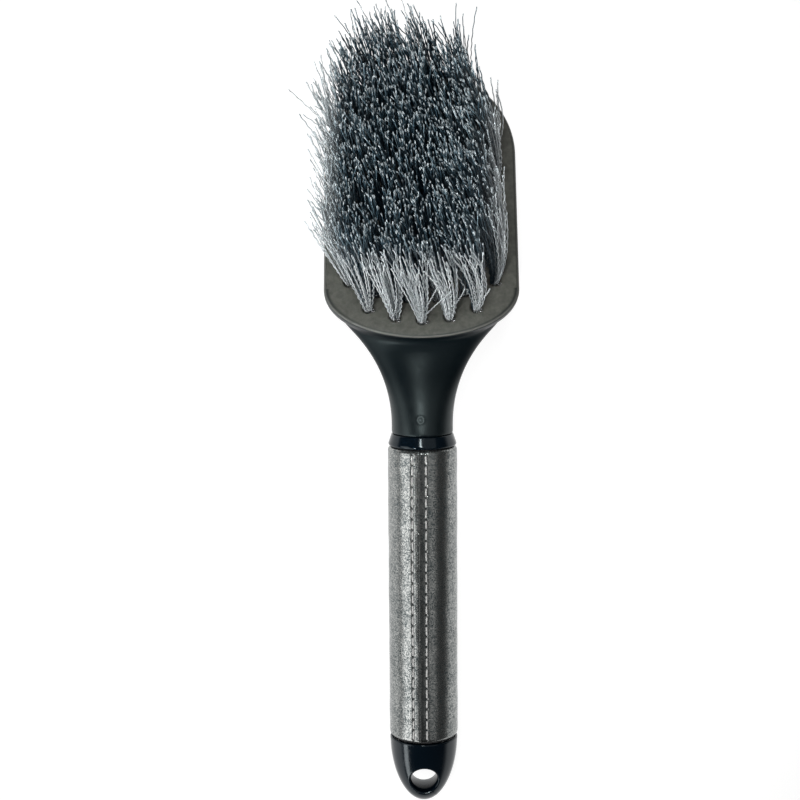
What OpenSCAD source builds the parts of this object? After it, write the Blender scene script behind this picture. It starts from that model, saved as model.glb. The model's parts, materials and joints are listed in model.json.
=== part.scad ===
// Hand brush for wheels and tyres, lying on its back with the bristles up.
// Right-angled coordinates while it is drawn: x across, u along the handle from the tip of the
// end cap, w square to the handle on the bristle side. settle() then leans it until the end cap
// and the far edge of the head both touch the table, and +Y points from the handle to the head.

/* [Handle] */
// Outer radius of the fabric grip
grip_r = 13; // [11.5:0.5:15]
// Length of the fabric grip
grip_len = 112.8; // [90:0.1:140]
// Length of the end cap
cap_len = 26; // [24:0.5:34]
// Radius of the end cap at its rim
cap_r = 12.9; // [11:0.1:14]
// Half the end cap's thickness where its flat taper meets its round tip
tip_half = 6.1; // [5:0.1:8]
// Radius of the hanging hole
hang_r = 5.2; // [3:0.1:5.5]
// Length of the collar between the grip and the neck
collar_len = 4.6; // [3:0.1:8]

/* [Neck] */
// Radius of the neck at the collar
neck_r = 11.5; // [10.5:0.1:12.5]
// Distance from the collar to the near edge of the face, along the handle
neck_len = 36.6; // [32:0.1:42]
// Height of the near edge of the face above the middle of the handle
face_rise = 7.2; // [5:0.1:9]
// Angle between the handle and the face of the head
bend = 25; // [18:0.5:30]

/* [Head] */
// Width of the head
head_w = 72.8; // [66:0.1:80]
// Length of the head's face
head_len = 110.5; // [108:0.5:125]
// Thickness at the middle of the head
head_thick = 15; // [13:0.5:18]
// Depth of the curve at the head's near end
near_round = 19.2; // [16:0.1:22]
// Radius of the domed back of the head
dome_r = 300; // [250:10:500]

/* [Bristles] */
// Length of the bristles above the face
tuft_len = 50; // [35:1:60]
// Radius of each drilled tuft hole
hole_r = 2; // [1.6:0.1:2.2]
// Depth of each tuft hole
hole_depth = 9; // [7:0.5:10]
// Radius of a tuft at its tips
tip_r = 3; // [2.2:0.1:3.2]
// Distance between rows
row_pitch = 8.5; // [8:0.1:8.6]
// Distance between tufts in a row
tuft_pitch = 10.8; // [10:0.1:11]
// Distance from the near edge of the face to the first row
first_row = 7.2; // [6:0.1:8]
// How far the first row leans towards the far end
near_lean = 6.8; // [0:0.1:8]
// How far the last row leans back towards the handle
far_lean = 4.4; // [0:0.1:8]
// How far the outermost tufts lean outwards
side_lean = 4.5; // [0:0.1:8]

/* [Stitching] */
// Length of one stitch
stitch_len = 3; // [2:0.1:3.5]
// Distance from one stitch to the next
stitch_pitch = 4.06; // [3.8:0.01:5]
// Radius of the thread
thread_r = 0.3; // [0.2:0.05:0.4]
// Distance from the seam to each row of stitches
stitch_offset = 2.55; // [1.5:0.05:3]
// How far round the grip the seam lies from the middle of its bristle side
seam_angle = 6.4; // [0:0.1:20]

/* [Hidden] */
$fn = 96;

// Number of rows of tufts
rows = 12;
// Running clearance between pieces that touch
gap = 0.05;
// Places along the handle
grip_start = cap_len + 0.2;
grip_end = grip_start + grip_len;
collar_start = grip_end + gap;
neck_start = collar_start + collar_len;
face_u = neck_start + neck_len;
// Layers of the handle, from the middle outwards
tang_r = 9;
tube_r = 10.4;
foam_r = 12.2;
tang_start = 88;
spigot_end = 45;
pin_r = 1.5;
cap_pin_u = 38;
tang_pin_us = [102, 122];
hang_u = hang_r + 5.1;

// Head: half its width, and the middle of its round far end
half_w = head_w / 2;
far_mid = head_len - half_w;

// Neck: a concave arc, a straight flank and a convex shoulder widen it to the head
flank = 41;
waist_r = 47.5;
shoulder_r = 17;
flare_start = neck_start + 3.3;
flank_u = flare_start + waist_r * sin(flank);
flank_w = neck_r + waist_r * (1 - cos(flank));
wing_w = half_w - 0.2;
shoulder_w = wing_w - shoulder_r * (1 - cos(flank));
shoulder_u = flank_u + (shoulder_w - flank_w) / tan(flank);
wing_u = shoulder_u + shoulder_r * sin(flank);
ridge_end = face_u + 52;

// Half the neck's width at u
function neck_half(u) =
    u < flare_start ? neck_r :
    u < flank_u ? neck_r + waist_r - sqrt(pow(waist_r, 2) - pow(u - flare_start, 2)) :
    u < shoulder_u ? flank_w + (u - flank_u) * tan(flank) :
    u < wing_u ? wing_w - shoulder_r + sqrt(pow(shoulder_r, 2) - pow(wing_u - u, 2)) :
    wing_w * (1 - 0.6 * pow((u - wing_u) / (ridge_end - wing_u), 2));

// Smooth step from 0 to 1
function ease(t) = let (c = max(0, min(1, t))) c * c * (3 - 2 * c);

// Height of the face's plane, and of the back of the head, at u
function face_w(u) = face_rise - (u - face_u) * tan(bend);
function back_w(u) = face_w(u) - head_thick / cos(bend);

// Top of the neck: it dips below the face's rim, then runs inside the head
dip_w = 3.4;
function neck_top(u) =
    let (t = max(0, min(1, (u - neck_start) / 31)))
    min(neck_r - (neck_r - dip_w) * (0.35 * t + 0.65 * ease(t)), face_w(u) - 1.5);

// Bottom of the neck: it bends into a low ridge that fades out under the head
bend_start = neck_start + 11;
ridge_u = bend_start + 50;
ridge_curve = tan(bend) / 100;
function neck_bottom(u) =
    u < bend_start ? -neck_r :
    u < ridge_u ? -neck_r - ridge_curve * pow(u - bend_start, 2) :
    back_w(u) + (neck_bottom(ridge_u - 0.01) - back_w(ridge_u)) * (1 - ease((u - ridge_u) / 30))
        + 1.5 * ease((u - ridge_u) / 30);

// Ring of points around the neck at u
neck_sides = 32;
function neck_ring(u) =
    let (mid = (neck_top(u) + neck_bottom(u)) / 2, half = (neck_top(u) - neck_bottom(u)) / 2)
    [for (i = [0 : neck_sides - 1])
        [neck_half(u) * cos(i * 360 / neck_sides), u, mid + half * sin(i * 360 / neck_sides)]];

// Solid through a list of rings that all have the same number of points
module loft(rings) {
    n = len(rings[0]);
    last = len(rings) - 1;
    sides = [for (j = [0 : last - 1], i = [0 : n - 1])
        [j * n + i, j * n + (i + 1) % n, (j + 1) * n + (i + 1) % n, (j + 1) * n + i]];
    start = [for (i = [n - 1 : -1 : 0]) i];
    end = [for (i = [0 : n - 1]) last * n + i];
    polyhedron(points = [for (r = rings) each r], faces = concat([start], sides, [end]));
}

// End cap: half an ellipse seen from above, with a straight taper from its rim to its round tip
cap_sides = 36;
cap_steps = 15;
taper_power = 14;
function cap_taper(u) = tip_half + (cap_r - tip_half) * u / cap_len;
function cap_half(u) =
    let (round_half = cap_r * sqrt(1 - pow(1 - u / cap_len, 2)))
    pow(pow(round_half, -taper_power) + pow(cap_taper(u), -taper_power), -1 / taper_power)
        * (1 + 0.0507 * pow(u / cap_len, 4));
function cap_u(step) = cap_len * (1 - cos(step * 90 / cap_steps));
function cap_w(step) = cap_r * sin(step * 90 / cap_steps);
function cap_ring(step) =
    [for (i = [0 : cap_sides - 1])
        [cap_w(step) * cos(i * 360 / cap_sides), cap_u(step),
         cap_half(cap_u(step)) * sin(i * 360 / cap_sides)]];

// The lowest places of the cap and of the far edge of the head, as [u, w] points
function cap_edge(step, side) = [cap_u(step), side * cap_half(cap_u(step))];
cap_low = [for (s = [1 : cap_steps]) cap_edge(s, -1)];
back_drop = dome_r - sqrt(pow(dome_r, 2) - pow(head_len / 2, 2));
head_low = on_face(head_len, back_drop - head_thick);

// [u, w] of a point v along the face and z above it
function on_face(v, z) =
    [face_u + v * cos(bend) + z * sin(bend), face_rise - v * sin(bend) + z * cos(bend)];

// Height above the table of an [u, w] point when the handle leans by a
function height(p, a) = p[0] * sin(a) + p[1] * cos(a);
function lowest(a) = min([for (p = cap_low) height(p, a)]);
function touching(a) = [for (p = cap_low) if (height(p, a) == lowest(a)) p][0];

// Lean at which the cap and the head's far edge touch the same table
function settle(a, tries) =
    let (p = touching(a))
    tries == 0 ? a : settle(atan2(p[1] - head_low[1], head_low[0] - p[0]), tries - 1);
lean = settle(8, 6);

// Tufts: rows are bowed like the near end at first, and like the far end at last
near_bow = 0.0116;
far_bow = -0.0179;
last_row = rows - 1;
function row_share(k) = k / last_row;
function bow(k) = near_bow + (far_bow - near_bow) * row_share(k);
function row_xs(k) =
    k == last_row ? [for (i = [-1.5 : 1 : 1.5]) i * tuft_pitch] :
    k % 2 == 0 ? [for (i = [-2 : 2]) i * tuft_pitch * (k == 0 ? 0.925 : 1)] :
    [for (i = [-2.5 : 1 : 2.5]) i * tuft_pitch];
function tuft_v(k, x) = first_row + k * row_pitch + bow(k) * x * x;
function lean_forward(v) =
    near_lean - (near_lean + far_lean) * (v - first_row) / (row_pitch * last_row);
function lean_aside(x) = side_lean * x / (2.5 * tuft_pitch);

// How far along the table an [u, w] point is, and the furthest that a tuft's tips reach
function along(p) = p[0] * cos(lean) - p[1] * sin(lean);
function tuft_reach(k, x) =
    let (v = tuft_v(k, x), f = lean_forward(v), s = lean_aside(x),
         slope = sin(f) * cos(bend - lean) + cos(f) * cos(s) * sin(bend - lean))
    along(on_face(v, 0)) + tuft_len * slope + tip_r * sqrt(1 - slope * slope);

// Places the drawn brush on the table, with the middle of its box at x = 0, y = 0
box_near = min([for (s = [1 : cap_steps]) along(cap_edge(s, 1))]);
box_far = max([along(on_face(head_len, 0)), for (k = [0 : last_row], x = row_xs(k)) tuft_reach(k, x)]);
module placed() {
    translate([0, -(box_near + box_far) / 2, -lowest(lean)])
        rotate([lean, 0, 0])
            children();
}

// Frame on the face: x across, y along the face from its near edge, z out of the face
module on_head() {
    translate([0, face_u, face_rise])
        rotate([-bend, 0, 0])
            children();
}

// Frame of one tuft: its origin is the middle of the hole's mouth and z is along the tuft
module at_tuft(k, x) {
    v = tuft_v(k, x);
    translate([x, v, 0])
        rotate([-lean_forward(v), lean_aside(x), 0])
            children();
}

// Turned piece along the handle from u = from to u = to
module turned(from, to, r, r_end) {
    translate([0, from, 0])
        rotate([-90, 0, 0])
            cylinder(h = to - from, r1 = r, r2 = r_end);
}

module tube(from, to, inner, outer) {
    difference() {
        turned(from, to, outer, outer);
        turned(from - 1, to + 1, inner, inner);
    }
}

// Pin or pin hole across the handle
module cross_pin(u, r, length) {
    translate([0, u, 0])
        rotate([0, 90, 0])
            cylinder(h = length, r = r, center = true);
}

module face_outline() {
    translate([-half_w, near_round])
        square([head_w, far_mid - near_round]);
    translate([0, far_mid])
        circle(r = half_w);
    polygon([for (i = [0 : 36])
        [-half_w * cos(i * 5), near_round * (1 - sin(i * 5)) + (i % 36 == 0 ? 0.01 : 0)]]);
}

module head_plate() {
    intersection() {
        translate([0, 0, -head_thick])
            linear_extrude(height = head_thick)
                face_outline();
        translate([0, head_len / 2, dome_r - head_thick])
            sphere(r = dome_r, $fn = 240);
    }
}

module brush_block() {
    neck_us = concat([for (u = [neck_start : 3.6 : wing_u + 2]) u],
                     [for (u = [wing_u + 6 : 7 : ridge_end]) u]);
    color("#2b2d2c")
    placed()
    difference() {
        union() {
            on_head()
                head_plate();
            loft([for (u = neck_us) neck_ring(u)]);
            turned(tang_start, neck_start + 3, tang_r, tang_r);
        }
        on_head()
            for (k = [0 : last_row], x = row_xs(k))
                at_tuft(k, x)
                    translate([0, 0, -hole_depth])
                        cylinder(h = hole_depth + 3, r = hole_r, $fn = 32);
        for (u = tang_pin_us)
            cross_pin(u, pin_r + gap, 3 * tang_r);
    }
}

module collar() {
    collar_r = cap_r - 0.1;
    color("#0c0d10")
    placed()
    difference() {
        turned(collar_start, neck_start - gap, collar_r, neck_r + 0.15);
        turned(collar_start - 1, neck_start + 1, tang_r + gap, tang_r + gap);
    }
}

module core_tube() {
    color("#16171a")
    placed()
    difference() {
        tube(grip_start, grip_end, tang_r + gap, tube_r);
        cross_pin(cap_pin_u, pin_r + gap, 3 * tube_r);
        for (u = tang_pin_us)
            cross_pin(u, pin_r + gap, 3 * tube_r);
    }
}

module tang_pins() {
    color("#b9bcc0")
    placed()
    for (u = tang_pin_us)
        cross_pin(u, pin_r, 2 * tube_r - 0.6);
}

module cap_pin() {
    color("#b9bcc0")
    placed()
    cross_pin(cap_pin_u, pin_r, 2 * tube_r - 0.6);
}

module foam_sleeve() {
    color("#3a3a3c")
    placed()
    tube(grip_start, grip_end, tube_r + gap, foam_r);
}

module grip_cover() {
    color("#77797b")
    placed()
    tube(grip_start, grip_end, foam_r + gap, grip_r);
}

// One row of stitches at an angle round the grip, counted from the bristle side
module stitch_row(angle) {
    count = floor((grip_len - 2) / stitch_pitch);
    margin = (grip_len - (count - 1) * stitch_pitch - stitch_len) / 2;
    color("#cfd1d2")
    placed()
    rotate([0, angle, 0])
        for (i = [0 : count - 1])
            translate([0, grip_start + margin + i * stitch_pitch, grip_r + thread_r + 0.03])
                rotate([-90, 0, 0])
                    cylinder(h = stitch_len, r = thread_r, $fn = 16);
}

function round_angle(distance) = distance / grip_r * 180 / PI;

module stitches_left() {
    stitch_row(-seam_angle - round_angle(stitch_offset));
}

module stitches_right() {
    stitch_row(-seam_angle + round_angle(stitch_offset));
}

module end_cap() {
    color("#0c0d10")
    placed()
    difference() {
        union() {
            loft([for (s = [1 : cap_steps]) cap_ring(s)]);
            turned(cap_len - 3, spigot_end, tang_r, tang_r);
        }
        translate([0, hang_u, 0])
            cylinder(h = 4 * cap_r, r = hang_r, center = true);
        cross_pin(cap_pin_u, pin_r + gap, 3 * tang_r);
    }
}

// Flat metal anchor that is driven across a hole and holds the folded bristles
anchor_z = -hole_depth + 1.6;
module anchor(extra) {
    translate([0, 0, anchor_z])
        cube([2 * hole_r - 0.2 + 2 * extra, 0.5 + 2 * extra, 1.8 + 2 * extra], center = true);
}

module tuft_anchors() {
    color("#d9dbdd")
    placed()
    on_head()
        for (k = [0 : last_row], x = row_xs(k))
            at_tuft(k, x)
                anchor(0);
}

// Tufts of one row: each is a rod in its hole that fans out to its tips
module tufts_row(k) {
    root_r = hole_r - gap;
    color("#7d8285")
    placed()
    on_head()
        for (x = row_xs(k))
            at_tuft(k, x)
                difference() {
                    union() {
                        translate([0, 0, gap - hole_depth])
                            cylinder(h = hole_depth + 1, r = root_r, $fn = 24);
                        cylinder(h = tuft_len, r1 = root_r, r2 = tip_r, $fn = 24);
                    }
                    anchor(gap);
                }
}

brush_block();
collar();
core_tube();
tang_pins();
foam_sleeve();
grip_cover();
stitches_left();
stitches_right();
end_cap();
cap_pin();
tuft_anchors();
tufts_row(0);  // tufts_row_01
tufts_row(1);  // tufts_row_02
tufts_row(2);  // tufts_row_03
tufts_row(3);  // tufts_row_04
tufts_row(4);  // tufts_row_05
tufts_row(5);  // tufts_row_06
tufts_row(6);  // tufts_row_07
tufts_row(7);  // tufts_row_08
tufts_row(8);  // tufts_row_09
tufts_row(9);  // tufts_row_10
tufts_row(10);  // tufts_row_11
tufts_row(11);  // tufts_row_12
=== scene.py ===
"""Looks of the wheel brush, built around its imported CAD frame.

Shapes are worked out in millimetres, in two frames: the handle's (x across, u along it from the tip
of the end cap, w square to it on the bristle side) and the head's (x across, v along the face from
its near edge, z out of the face). They go into Blender in metres, in the part's own frame.
"""
import json
import math

import bmesh
import bpy
import numpy as np
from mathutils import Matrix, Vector


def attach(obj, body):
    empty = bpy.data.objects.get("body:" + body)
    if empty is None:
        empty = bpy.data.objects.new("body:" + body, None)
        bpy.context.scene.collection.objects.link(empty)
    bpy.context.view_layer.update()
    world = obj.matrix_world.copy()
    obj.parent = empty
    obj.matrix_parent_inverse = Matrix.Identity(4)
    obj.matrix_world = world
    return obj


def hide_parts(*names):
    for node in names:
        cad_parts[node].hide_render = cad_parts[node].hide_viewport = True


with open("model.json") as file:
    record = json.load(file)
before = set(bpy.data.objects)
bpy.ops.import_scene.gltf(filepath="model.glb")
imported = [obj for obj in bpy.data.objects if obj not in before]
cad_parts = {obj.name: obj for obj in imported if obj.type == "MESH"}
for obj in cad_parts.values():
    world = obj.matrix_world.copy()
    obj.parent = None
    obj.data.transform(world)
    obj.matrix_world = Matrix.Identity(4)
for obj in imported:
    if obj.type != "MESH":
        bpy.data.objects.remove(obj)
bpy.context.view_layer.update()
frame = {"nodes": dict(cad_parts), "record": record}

MM = 0.001
SEED = 7
random = np.random.default_rng(SEED)


# ------------ frames taken from the CAD model

def unit(v):
    return v / np.linalg.norm(v, axis=-1, keepdims=True)


def vertices(node):
    """A CAD node's points, in millimetres."""
    return np.array([v.co for v in frame["nodes"][node].data.vertices]) / MM


# Distance from the tip of the end cap to the middle of its hole, and angle of the face to the handle
HANG_U = 10.3
BEND = math.radians(25)

hang_hole = frame["record"]["mounts"][0]
W_AXIS = np.array(hang_hole["axis"], float)
X_AXIS = np.array([1.0, 0.0, 0.0])
U_AXIS = np.array([0.0, W_AXIS[2], -W_AXIS[1]])
HANDLE_AXES = np.array([X_AXIS, U_AXIS, W_AXIS])
HANDLE_ORIGIN = np.array(hang_hole["pos_m"], float) / MM - HANG_U * U_AXIS

V_AXIS = math.cos(BEND) * U_AXIS - math.sin(BEND) * W_AXIS
Z_AXIS = math.sin(BEND) * U_AXIS + math.cos(BEND) * W_AXIS
HEAD_AXES = np.array([X_AXIS, V_AXIS, Z_AXIS])


def to_handle(points):
    return (np.asarray(points) - HANDLE_ORIGIN) @ HANDLE_AXES.T


def from_handle(points):
    return HANDLE_ORIGIN + np.asarray(points) @ HANDLE_AXES


def handle_size(node):
    """Start and end of a CAD node along the handle, and its radius."""
    points = to_handle(vertices(node))
    return points[:, 1].min(), points[:, 1].max(), points[:, 0].max()


block = vertices("brush_block")
face_height = (block @ Z_AXIS).max()
face_points = block[block @ Z_AXIS > face_height - 0.01]
near_edge = (face_points @ V_AXIS).min()
HEAD_LEN = (face_points @ V_AXIS).max() - near_edge
HALF_W = face_points[:, 0].max()
HEAD_ORIGIN = face_height * Z_AXIS + near_edge * V_AXIS


def to_head(points):
    return (np.asarray(points) - HEAD_ORIGIN) @ HEAD_AXES.T


def from_head(points):
    return HEAD_ORIGIN + np.asarray(points) @ HEAD_AXES


FACE_U, FACE_W = to_handle(HEAD_ORIGIN)[1:]
GRIP_START, GRIP_END, GRIP_R = handle_size("grip_cover")
FOAM_R = handle_size("foam_sleeve")[2]
COLLAR_START, COLLAR_END, COLLAR_R = handle_size("collar")
_, SPIGOT_END, CAP_R = handle_size("end_cap")
CAP_LEN = 26.0
TANG_R = 9.0
TANG_START = 88.0
TANG_CHAMFER = 0.8


# ------------ mesh building

def linked(name, data):
    """A new object for a mesh, a light or a camera, in the scene."""
    obj = bpy.data.objects.new(name, data)
    bpy.context.scene.collection.objects.link(obj)
    return obj


def new_object(name, points, faces, material):
    """A smooth mesh object from points in millimetres, in the part's frame."""
    mesh = bpy.data.meshes.new(name)
    mesh.from_pydata((np.asarray(points) * MM).tolist(), [], faces)
    mesh.polygons.foreach_set("use_smooth", [True] * len(mesh.polygons))
    mesh.update()
    if material:
        mesh.materials.append(material)
    return linked(name, mesh)


def add_attribute(obj, name, values):
    attribute = obj.data.attributes.new(name, "FLOAT", "POINT")
    attribute.data.foreach_set("value", np.asarray(values, np.float32))


def grid_faces(rows, columns, wrap):
    """Quads between rows of points; with wrap, each row closes on itself."""
    last = columns if wrap else columns - 1
    faces = []
    for r in range(rows - 1):
        for c in range(last):
            d = (c + 1) % columns
            a, b = r * columns, (r + 1) * columns
            faces.append((a + c, a + d, b + d, b + c))
    return faces


def ring_mesh(rings, close_start=True, close_end=True):
    """Points and faces of a surface through rings with the same number of points each."""
    rings = np.asarray(rings)
    rows, columns = rings.shape[:2]
    faces = grid_faces(rows, columns, True)
    if close_start:
        faces.append(tuple(range(columns - 1, -1, -1)))
    if close_end:
        faces.append(tuple((rows - 1) * columns + c for c in range(columns)))
    return rings.reshape(-1, 3), faces


def loop_mesh(rings):
    """Points and faces of a surface through rings, with the last ring joined to the first."""
    points, faces = ring_mesh(rings, False, False)
    sides = len(rings[0])
    last = len(points) - sides
    faces += [(last + c, last + (c + 1) % sides, (c + 1) % sides, c) for c in range(sides)]
    return points, faces


def ring_angles(sides):
    return np.arange(sides) * 2 * math.pi / sides


def handle_ring(u, r, angles):
    """A ring round the handle's axis; r is one radius, or one for each angle."""
    return np.column_stack([r * np.sin(angles), np.full(len(angles), u), r * np.cos(angles)])


def joined(*parts):
    """Several (points, faces) pairs as one."""
    points, faces, start = [], [], 0
    for p, f in parts:
        points.append(np.asarray(p))
        faces += [tuple(i + start for i in face) for face in f]
        start += len(p)
    return np.concatenate(points), faces


def ease(t):
    t = np.clip(t, 0, 1)
    return t * t * (3 - 2 * t)


def face_outward(obj):
    """Turns every face of a closed mesh outwards."""
    bm = bmesh.new()
    bm.from_mesh(obj.data)
    bmesh.ops.recalc_face_normals(bm, faces=bm.faces)
    bm.to_mesh(obj.data)
    bm.free()


def handle_piece(name, shape, material):
    """A closed object from (points, faces) in the handle's frame."""
    points, faces = shape
    obj = new_object(name, from_handle(points), faces, material)
    face_outward(obj)
    return obj


def tubes(lines, radii, sides, guide):
    """Points and faces of many closed tubes: lines is tube x ring x 3, radii is tube x ring, and
    guide is one direction for each tube that its first side faces."""
    lines = np.asarray(lines, float)
    count, rings = lines.shape[:2]
    along = unit(np.gradient(lines, axis=1))
    side = guide[:, None, :] - (guide[:, None, :] * along).sum(-1, keepdims=True) * along
    side = unit(side)
    other = np.cross(along, side)
    angles = ring_angles(sides)
    around = (side[:, :, None, :] * np.cos(angles)[None, None, :, None]
              + other[:, :, None, :] * np.sin(angles)[None, None, :, None])
    points = lines[:, :, None, :] + radii[:, :, None, None] * around
    index = np.arange(count * rings * sides).reshape(count, rings, sides)
    after = np.roll(index, -1, axis=2)
    quads = np.stack([index[:, :-1], after[:, :-1], after[:, 1:], index[:, 1:]], -1).reshape(-1, 4)
    caps = np.concatenate([index[:, 0, ::-1], index[:, -1, :]])
    return points.reshape(-1, 3), quads, caps


def tube_object(name, points, quads, caps, material):
    """A mesh object from the arrays that tubes() makes."""
    mesh = bpy.data.meshes.new(name)
    mesh.vertices.add(len(points))
    mesh.vertices.foreach_set("co", (points * MM).astype(np.float32).ravel())
    corners = np.concatenate([quads.ravel(), caps.ravel()])
    sizes = np.concatenate([np.full(len(quads), 4), np.full(len(caps), caps.shape[1])])
    mesh.loops.add(len(corners))
    mesh.loops.foreach_set("vertex_index", corners.astype(np.int32))
    mesh.polygons.add(len(sizes))
    mesh.polygons.foreach_set("loop_start", (np.cumsum(sizes) - sizes).astype(np.int32))
    smooth = np.concatenate([np.ones(len(quads), bool), np.zeros(len(caps), bool)])
    mesh.polygons.foreach_set("use_smooth", smooth)
    mesh.update(calc_edges=True)
    mesh.validate()
    mesh.materials.append(material)
    return linked(name, mesh)


# ------------ materials

def set_range(node, *numbers):
    for socket, number in zip(("From Min", "From Max", "To Min", "To Max"), numbers):
        node.inputs[socket].default_value = number


class Look:
    """A Principled material whose colour, roughness and bump come from nodes."""

    def __init__(self, name, **values):
        self.material = bpy.data.materials.new(name)
        self.material.use_nodes = True
        self.tree = self.material.node_tree
        self.shader = self.tree.nodes["Principled BSDF"]
        for socket, value in values.items():
            self.shader.inputs[socket.replace("_", " ")].default_value = value
        self.place = self.node("ShaderNodeTexCoord").outputs["Object"]

    def node(self, kind, **settings):
        made = self.tree.nodes.new(kind)
        for key, value in settings.items():
            setattr(made, key, value)
        return made

    def link(self, value, socket):
        if isinstance(value, bpy.types.NodeSocket):
            self.tree.links.new(value, socket)
        else:
            socket.default_value = value

    def math(self, operation, a, b=0.0):
        made = self.node("ShaderNodeMath", operation=operation)
        self.link(a, made.inputs[0])
        self.link(b, made.inputs[1])
        return made.outputs[0]

    def stretched(self, scale):
        made = self.node("ShaderNodeMapping")
        self.link(self.place, made.inputs["Vector"])
        made.inputs["Scale"].default_value = scale
        return made.outputs["Vector"]

    def noise(self, size_mm, detail=2.0, place=None, rough=0.5):
        made = self.node("ShaderNodeTexNoise")
        self.link(place or self.place, made.inputs["Vector"])
        made.inputs["Scale"].default_value = 1 / (size_mm * MM)
        made.inputs["Detail"].default_value = detail
        made.inputs["Roughness"].default_value = rough
        return made.outputs["Fac"]

    def attribute(self, name):
        return self.node("ShaderNodeAttribute", attribute_name=name).outputs["Fac"]

    def ranged(self, value, low, high, to_low=0.0, to_high=1.0):
        made = self.node("ShaderNodeMapRange")
        self.link(value, made.inputs["Value"])
        set_range(made, low, high, to_low, to_high)
        return made.outputs["Result"]

    def mixed(self, share, a, b):
        made = self.node("ShaderNodeMix", data_type="RGBA")
        self.link(share, made.inputs["Factor"])
        for value, socket in ((a, made.inputs["A"]), (b, made.inputs["B"])):
            self.link(value if isinstance(value, bpy.types.NodeSocket) else (*value, 1.0), socket)
        return made.outputs["Result"]

    def bump(self, height, distance_mm, strength):
        made = self.node("ShaderNodeBump")
        made.inputs["Strength"].default_value = strength
        made.inputs["Distance"].default_value = distance_mm * MM
        self.link(height, made.inputs["Height"])
        self.link(made.outputs["Normal"], self.shader.inputs["Normal"])

    def set(self, socket, value):
        self.link(value, self.shader.inputs[socket])


def moulded_plastic():
    """Black polypropylene: a satin neck that turns matt towards the head, and a duller olive face with
    a fine mottle and a painted highlight along its edge."""
    look = Look("moulded_plastic", IOR=1.5, Specular_Tint=(0.82, 1.0, 1.0, 1.0))
    face = look.attribute("face")
    painted_edge_highlight = look.attribute("edge")
    mottle = look.noise(2.4, 4.0, rough=0.65)
    grain = look.noise(0.35, 2.0)
    satin = look.mixed(mottle, (0.002, 0.005, 0.007), (0.005, 0.008, 0.010))
    dull = look.mixed(look.ranged(mottle, 0.3, 0.7), (0.080, 0.080, 0.068), (0.140, 0.138, 0.120))
    colour = look.mixed(face, satin, dull)
    # painted highlight: the face's rounded rim is lightened where it would catch the lamps
    colour = look.mixed(look.math("MULTIPLY", painted_edge_highlight, 0.8), colour, (0.24, 0.24, 0.22))
    look.set("Base Color", colour)
    look.set("Specular IOR Level", look.ranged(look.attribute("matt"), 0.0, 1.0, 0.38, 0.12))
    rough = look.ranged(mottle, 0.3, 0.7, 0.32, 0.40)
    duller = look.ranged(mottle, 0.3, 0.7, 0.46, 0.58)
    span = look.math("SUBTRACT", duller, rough)
    look.set("Roughness", look.math("ADD", rough, look.math("MULTIPLY", face, span)))
    look.bump(look.math("ADD", grain, look.math("MULTIPLY", mottle, 0.8)), 0.03, 0.5)
    return look.material


def gloss_plastic(name):
    """Polished black plastic with faint handling marks; the wall of a hole is left dull."""
    look = Look(name, IOR=1.5, Specular_Tint=(0.84, 0.96, 1.0, 1.0))
    marks = look.noise(0.5, 3.0, look.stretched((1.0, 0.12, 1.0)))
    blotch = look.noise(7.0, 2.0)
    look.set("Base Color", look.mixed(blotch, (0.001, 0.004, 0.008), (0.002, 0.006, 0.011)))
    worn = look.ranged(look.math("MULTIPLY", marks, blotch), 0.1, 0.45, 0.07, 0.20)
    wall = look.attribute("wall")
    look.set("Roughness", look.math("ADD", worn, look.math("MULTIPLY", wall, 0.2)))
    look.set("Specular IOR Level", look.math("SUBTRACT", 0.34, look.math("MULTIPLY", wall, 0.34)))
    look.bump(marks, 0.01, 0.25)
    return look.material


def woven_fabric():
    """Silver and charcoal yarn, plain weave: yarn_u and yarn_c count the yarns along and round."""
    look = Look("woven_fabric", Specular_IOR_Level=0.5)
    across, around = look.attribute("yarn_u"), look.attribute("yarn_c")

    def cell(value):
        return look.math("FLOOR", value)

    def speckle(a, b, seed):
        place = look.node("ShaderNodeCombineXYZ")
        look.link(a, place.inputs[0])
        look.link(b, place.inputs[1])
        place.inputs[2].default_value = seed
        made = look.node("ShaderNodeTexWhiteNoise")
        look.link(place.outputs[0], made.inputs["Vector"])
        return made.outputs["Value"]

    row, column = cell(across), cell(around)
    over = look.math("FLOORED_MODULO", look.math("ADD", row, column), 2.0)
    each = speckle(row, column, 1.5)
    slub = speckle(cell(look.math("MULTIPLY", across, 0.16)), column, 7.5)
    weft = speckle(row, cell(look.math("MULTIPLY", around, 0.11)), 3.5)
    yarn = look.math("ADD", look.math("MULTIPLY", over, slub),
                     look.math("MULTIPLY", look.math("SUBTRACT", 1.0, over), weft))
    fibre = look.noise(0.17, 3.0, rough=0.7)
    tone = look.math("ADD", look.math("MULTIPLY", each, 0.34), look.math("MULTIPLY", yarn, 0.16))
    tone = look.math("ADD", tone, look.math("MULTIPLY", fibre, 0.50))
    cloud = look.noise(9.0, 2.0)
    tone = look.math("ADD", tone, look.ranged(cloud, 0.3, 0.7, -0.04, 0.04))
    silver = look.ranged(tone, 0.26, 0.76)
    # painted shade: the fabric is darkened in the thread dimples and on the strip beside the seam
    hole = look.attribute("hole")
    colour = look.mixed(silver, (0.024, 0.042, 0.048), (0.46, 0.465, 0.45))
    look.set("Base Color", look.mixed(hole, colour, (0.008, 0.011, 0.013)))
    look.set("Metallic", look.ranged(silver, 0.0, 0.5, 0.5, 0.97))
    look.set("Roughness", look.ranged(silver, 0.0, 1.0, 0.30, 0.21))
    look.bump(fibre, 0.03, 0.65)
    return look.material


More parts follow.
